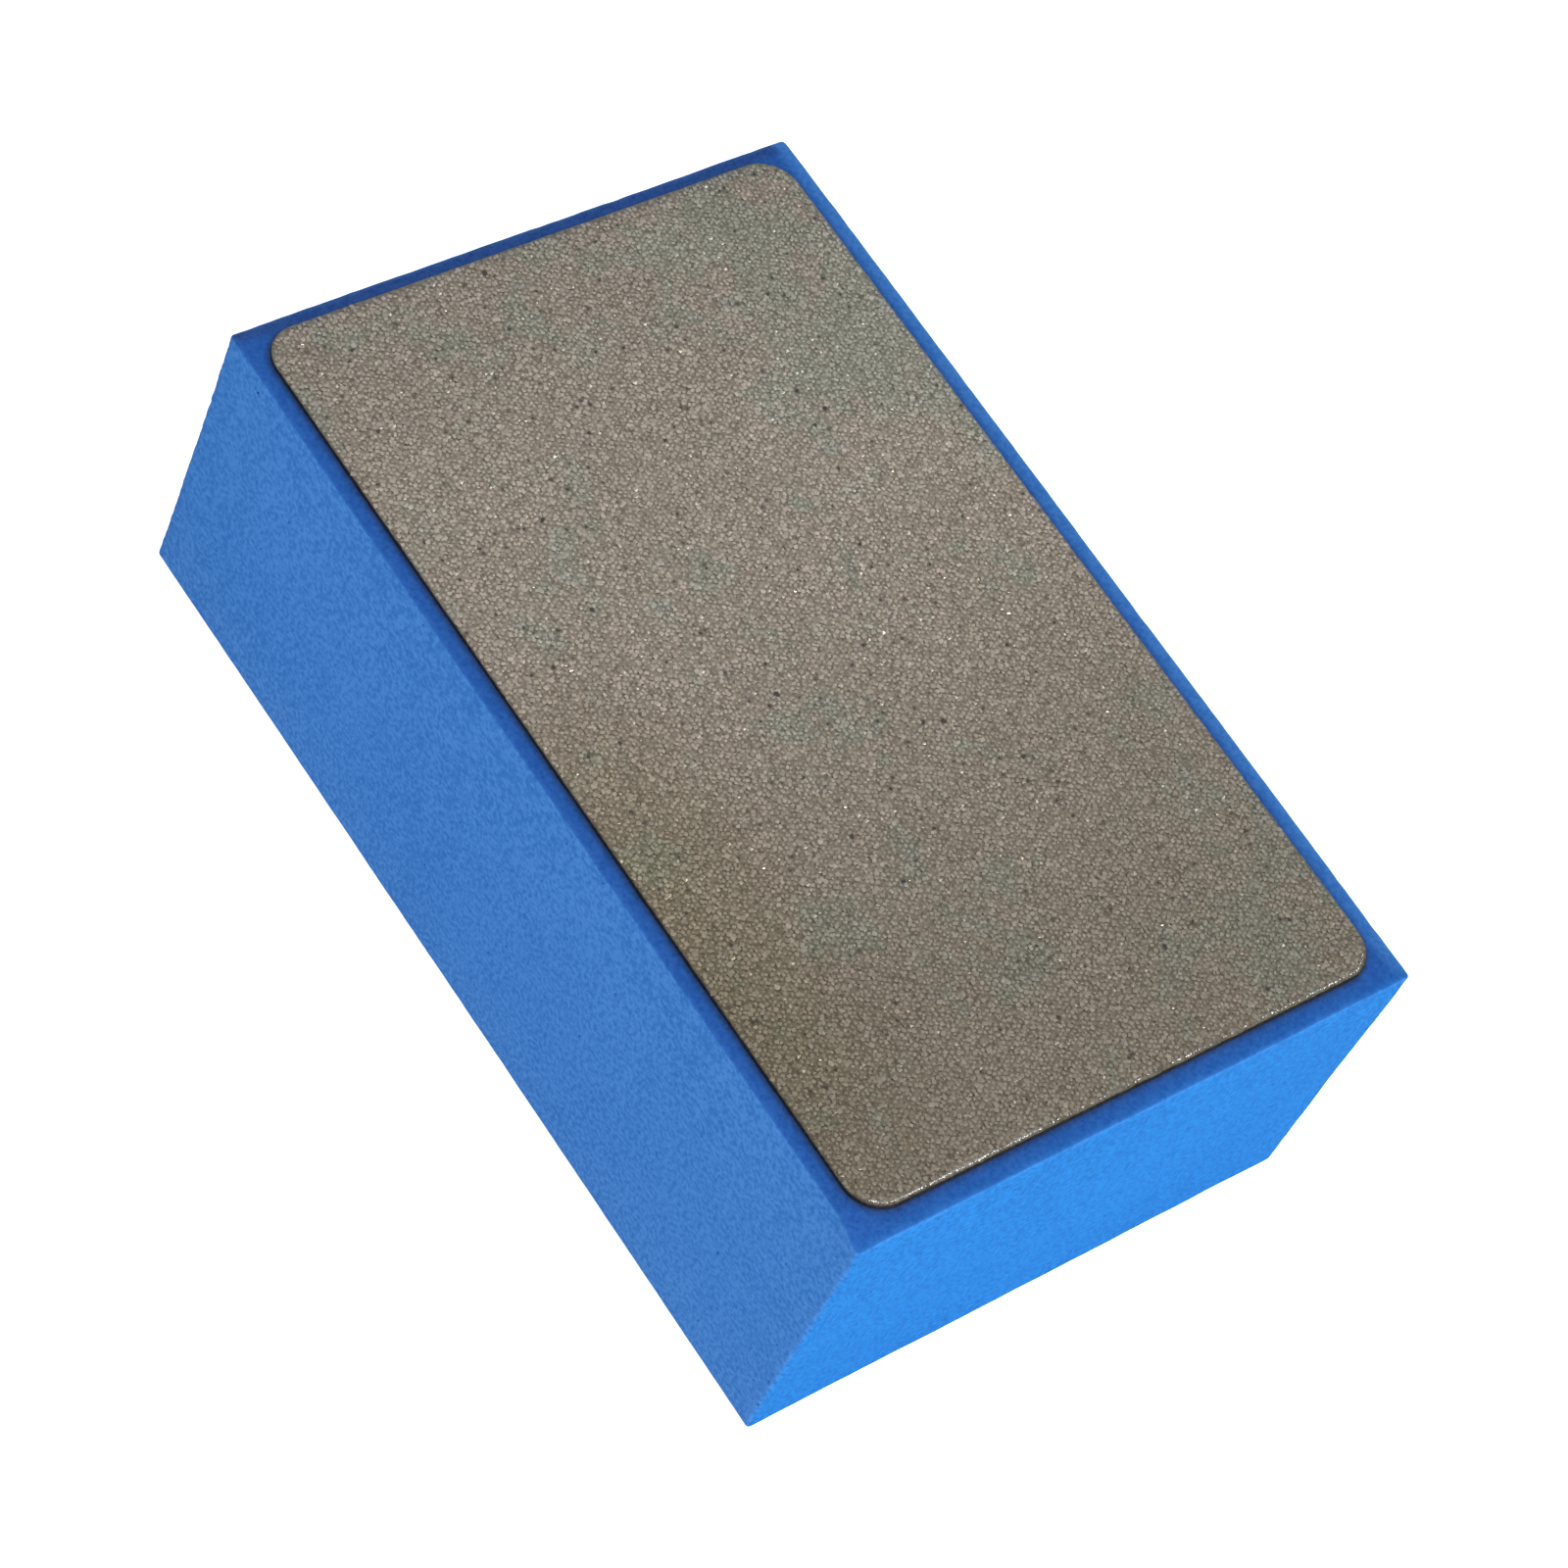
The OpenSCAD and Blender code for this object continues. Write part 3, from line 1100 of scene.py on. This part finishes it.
def plate_sheen_and_tint(tree):
    """The abrasive face's painted sheen and tint: a painted sheen palest near its -X third and
    darker towards the +X end, where it also turns browner."""
    x, y, _ = tree.xyz()
    # X shifted by up to 8 mm either way, so that the shades have no straight borders
    shift = tree.math("MULTIPLY_ADD", tree.noise(size=16.0), 0.016, -0.008)
    along = tree.math("ADD", x, shift)
    # painted sheen: the level rises to its brightest a third of the way along, then falls off
    # towards +X
    rise = tree.ramp(along, over=(-0.050, -0.016), to=(0.92, 1.057))
    fall = tree.slope(along, over=(-0.009, 0.028), to=(0.0, -0.30))
    level = tree.math("ADD", rise, fall)
    last_fall = tree.slope(along, over=(0.026, 0.042), to=(0.0, -0.04))
    level = tree.math("ADD", level, last_fall)
    yellowing = tree.mix(tree.slope(along, over=(-0.012, 0.042)), WHITE, (1.0, 0.983, 0.925))
    shade = tree.tinted(tree.combine(level, level, level), by=yellowing)
    # browner along the -Y edge
    brown_band_end = tree.ramp(x, over=(0.024, 0.046), to=(1.0, 0.3))
    brown_band = tree.math("MULTIPLY", tree.ramp(x, over=(-0.014, 0.014)), brown_band_end)
    near = tree.ramp(y, over=(-0.0258, -0.008), to=(1.0, 0.0))
    brown_band = tree.math("MULTIPLY", brown_band, near)
    shade = tree.tinted(shade, by=tree.mix(brown_band, WHITE, (0.83, 0.82, 0.71)))
    # duller at the very edge on the -X and +Y sides
    minus_x = tree.mix(tree.ramp(x, over=(-0.0437, -0.0426)), (0.78, 0.84, 0.92), WHITE)
    plus_y = tree.mix(tree.ramp(y, over=(0.0250, 0.0260)), WHITE, (0.91, 0.96, 1.05))
    return tree.tinted(tree.tinted(shade, by=minus_x), by=plus_y)


def with_patches(tree, colour):
    """Makes the face greyer in loose patches, more of them at the two +Y corners and
    towards the -X edge."""
    cloud = tree.noise(size=5.5, detail=3.0, rough=0.6)
    x, y, _ = tree.xyz()
    minus_x = tree.ramp(x, over=(-0.022, -0.004), to=(1.0, 0.0))
    corners = tree.math("MAXIMUM", minus_x, tree.ramp(x, over=(0.024, 0.040)))
    plus_y = tree.ramp(y, over=(0.000, 0.021), to=(0.0, 0.12))
    near = tree.math("MULTIPLY", corners, plus_y)
    near = tree.math("ADD", near, tree.ramp(x, over=(-0.043, -0.026), to=(0.05, 0.0)))
    patches = tree.ramp(tree.math("ADD", cloud, near), over=(0.53, 0.66))
    return tree.mix(patches, colour, tree.tinted(colour, by=(0.905, 1.02, 1.02)))


def nickel_material():
    tree = Tree("nickel_plating")
    edge = tree.attribute("edge")
    bare = tree.attribute("bare")
    fine = tree.ramp(tree.noise(size=0.30, detail=3.0, rough=0.65), over=(0.32, 0.68))
    base = tree.mix(fine, (0.153, 0.131, 0.105), (0.362, 0.317, 0.258))
    # painted sheen and tint across the abrasive face
    base = tree.tinted(with_patches(tree, base), by=plate_sheen_and_tint(tree))
    # worn smoother at the +X end, so the grains stand out less from the ground there
    worn = tree.slope(tree.xyz()[0], over=(-0.020, 0.032))
    base = tree.tinted(base, by=tree.mix(worn, grey(1.07), grey(1.15)))
    # painted shade: the lip and outside wall are drawn near black, where shadow falls under the
    # plate's edge; bare metal with its painted highlight is brighter
    dark_shade = tree.mix(fine, (0.006, 0.006, 0.008), (0.020, 0.020, 0.022))
    bright = tree.mix(fine, (0.45, 0.45, 0.45), (0.82, 0.82, 0.81))
    base = tree.mix(edge, base, dark_shade)
    base = tree.mix(bare, base, bright)
    # painted shade in the empty sockets
    base = tree.mix(tree.attribute("socket"), base, (0.020, 0.018, 0.016))
    # bare metal is smoother; the painted shade is not metallic and hardly shines
    rough = tree.ramp(fine, over=(0.3, 0.7), to=(0.45, 0.65))
    rough = tree.math("SUBTRACT", rough, tree.math("MULTIPLY", bare, 0.28))
    in_shade = tree.math("MULTIPLY", edge, tree.math("SUBTRACT", 1.0, bare))
    half_cells = tree.math("MULTIPLY", tree.cells(size=0.12), 0.5)
    lumps = tree.math("MULTIPLY_ADD", fine, 0.6, half_cells)
    tree.set(
        Base_Color=base,
        Metallic=tree.math("SUBTRACT", 1.0, in_shade, clamp=True),
        Specular_IOR_Level=tree.math("MULTIPLY_ADD", in_shade, -0.42, 0.5),
        Roughness=rough,
        Normal=tree.bump(lumps, depth=0.02, strength=0.7),
    )
    return tree.material


def grit_material():
    tree = Tree("diamond_grit")
    clean = tree.attribute("clean")
    x = tree.xyz()[0]
    # the grains differ less from each other at the two ends
    minus_x = tree.slope(x, over=(-0.026, -0.012), to=(0.75, 0.92))
    plus_x = tree.slope(x, over=(0.008, 0.036), to=(0.92, 0.52))
    even = tree.math("MINIMUM", minus_x, plus_x)
    tint = tree.math("SUBTRACT", tree.attribute("tint"), 0.5)
    tint = tree.math("MULTIPLY_ADD", tint, even, 0.5)
    base = tree.mix(tint, (0.136, 0.115, 0.094), (0.625, 0.543, 0.457))
    base = with_patches(tree, base)
    wide = tree.ramp(tree.noise(size=21.0), over=(0.35, 0.7), to=(0.0, 0.12))
    base = tree.mix(wide, base, (0.20, 0.175, 0.13))
    # the cleanest few grains skip most of the face's painted sheen and tint
    spared = tree.ramp(clean, over=(0.985, 0.986), to=(0.0, 0.9))
    base = tree.tinted(base, by=tree.mix(spared, plate_sheen_and_tint(tree), WHITE))
    worn = tree.slope(x, over=(-0.020, 0.032))
    base = tree.tinted(base, by=tree.mix(worn, grey(0.980), grey(0.960)))
    # a few grains are dark, fewer where the face is worn
    offset = tree.slope(x, over=(0.002, 0.030), to=(0.022, 0.036))
    dark = tree.ramp(tree.math("ADD", clean, offset), over=(0.052, 0.053), to=(1.0, 0.0))
    blackest, palest = (0.010, 0.009, 0.008), (0.090, 0.079, 0.066)
    dirt = tree.mix(tree.slope(clean, over=(0.0, 0.030)), blackest, palest)
    base = tree.mix(dark, base, dirt)
    # frosted grains scatter more evenly than their facets: lean the normals upwards
    shine = tree.ramp(clean, over=(0.55, 0.56))
    flat = tree.math("MULTIPLY_ADD", shine, -0.35, 0.55)
    kept = tree.math("SUBTRACT", 1.0, flat)
    facet = tree.vector_math("SCALE", a=tree.normal(), scale=kept)
    lean = tree.vector_math("ADD", a=facet, b=tree.combine(0.0, 0.0, flat))
    frost = tree.noise(size=0.07, rough=0.6)
    frosted = tree.math("MULTIPLY_ADD", frost, 0.10, 0.52)
    tree.set(
        Base_Color=base,
        Normal=tree.vector_math("NORMALIZE", a=lean),
        Metallic=tree.math("MULTIPLY_ADD", shine, 0.4, 0.2),
        IOR=1.8,
        Roughness=tree.math("MULTIPLY_ADD", shine, -0.30, frosted),
    )
    return tree.material


def dress(obj, material):
    obj.data.materials.clear()
    obj.data.materials.append(material)


dress(foam, foam_material())
dress(tape, tape_material())
dress(plating, nickel_material())
dress(grit, grit_material())
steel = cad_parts["steel_plate"]
steel_look = steel_material()
if not steel.material_slots:
    steel.data.materials.append(steel_look)
for slot in steel.material_slots:
    slot.link = "OBJECT"
    slot.material = steel_look


# ---------------------------------------------------------------- floor, light and camera

FLOOR_HALF, FLOOR_RADIUS, FLOOR_Z = 2200, 900, -0.02  # mm


def floor_material():
    """Pale floor that glows a little, more where the camera sees it."""
    tree = Tree("pale_floor")
    cloud = tree.noise(size=40)
    seen = tree.new("LightPath").outputs["Is Camera Ray"]
    tree.set(
        Base_Color=tree.mix(cloud, grey(0.87), grey(0.90)),
        Roughness=0.9,
        Specular_IOR_Level=0.1,
        Emission_Color=WHITE,
        Emission_Strength=tree.math("MULTIPLY_ADD", seen, 0.35, 0.34),
    )
    return tree.material


def build_floor():
    rect = (-FLOOR_HALF, FLOOR_HALF, -FLOOR_HALF, FLOOR_HALF)
    line, _ = loop_points(rect, FLOOR_RADIUS, 200)
    centre = len(line)
    points = at_height(np.vstack([line, [0, 0]]), FLOOR_Z)
    i = np.arange(centre)
    fan = np.stack([i, (i + 1) % centre, np.full(centre, centre)], 1)
    floor = make_mesh("floor", points, [fan])
    dress(floor, floor_material())


def build_world():
    """White surroundings, brighter to the camera than as light."""
    world = bpy.data.worlds.new("studio")
    bpy.context.scene.world = world
    world.use_nodes = True
    nodes, links = world.node_tree.nodes, world.node_tree.links
    background = nodes["Background"]
    background.inputs["Color"].default_value = (1.0, 1.0, 1.0, 1)
    seen = nodes.new("ShaderNodeLightPath")
    level = nodes.new("ShaderNodeMapRange")
    level.inputs["To Min"].default_value = 0.8
    level.inputs["To Max"].default_value = 1.1
    links.new(seen.outputs["Is Camera Ray"], level.inputs["Value"])
    links.new(level.outputs["Result"], background.inputs["Strength"])


def softbox(name, at, aim, width, height, watts):
    light = bpy.data.lights.new(name, "AREA")
    light.shape = "RECTANGLE"
    light.size, light.size_y = width, height
    light.energy = watts
    obj = bpy.data.objects.new(name, light)
    obj.location = at
    obj.rotation_euler = (Vector(aim) - Vector(at)).to_track_quat("-Z", "Y").to_euler()
    bpy.context.scene.collection.objects.link(obj)


def build_camera():
    camera = bpy.data.cameras.new("camera")
    camera.sensor_width = 36.0
    camera.lens = 116.728
    camera.clip_start, camera.clip_end = 0.01, 20.0
    obj = bpy.data.objects.new("camera", camera)
    place = Matrix.Translation((0.1344023, -0.2138384, 0.3409823))
    # columns are the camera's right, up and backward directions
    turn = Matrix(
        (
            (0.5487056, -0.7723184, 0.3200727),
            (0.7833117, 0.3411581, -0.5196478),
            (0.2921382, 0.5358502, 0.7921615),
        )
    )
    obj.matrix_world = place @ turn.to_4x4()
    bpy.context.scene.collection.objects.link(obj)
    bpy.context.scene.camera = obj


build_floor()
build_world()
BLOCK_MIDDLE = (0, 0, 0.015)
softbox("side_box", (0.80, -0.12, 0.16), BLOCK_MIDDLE, width=0.5, height=0.24, watts=5.4)
softbox("front_box", (-0.12, -0.8, 0.2), BLOCK_MIDDLE, width=0.5, height=0.3, watts=0.9)
softbox("spark", (0.255, 0.51, 0.64), (0, 0, 0.03), width=0.09, height=0.09, watts=0.4)
build_camera()
bpy.context.scene.view_settings.view_transform = "Standard"
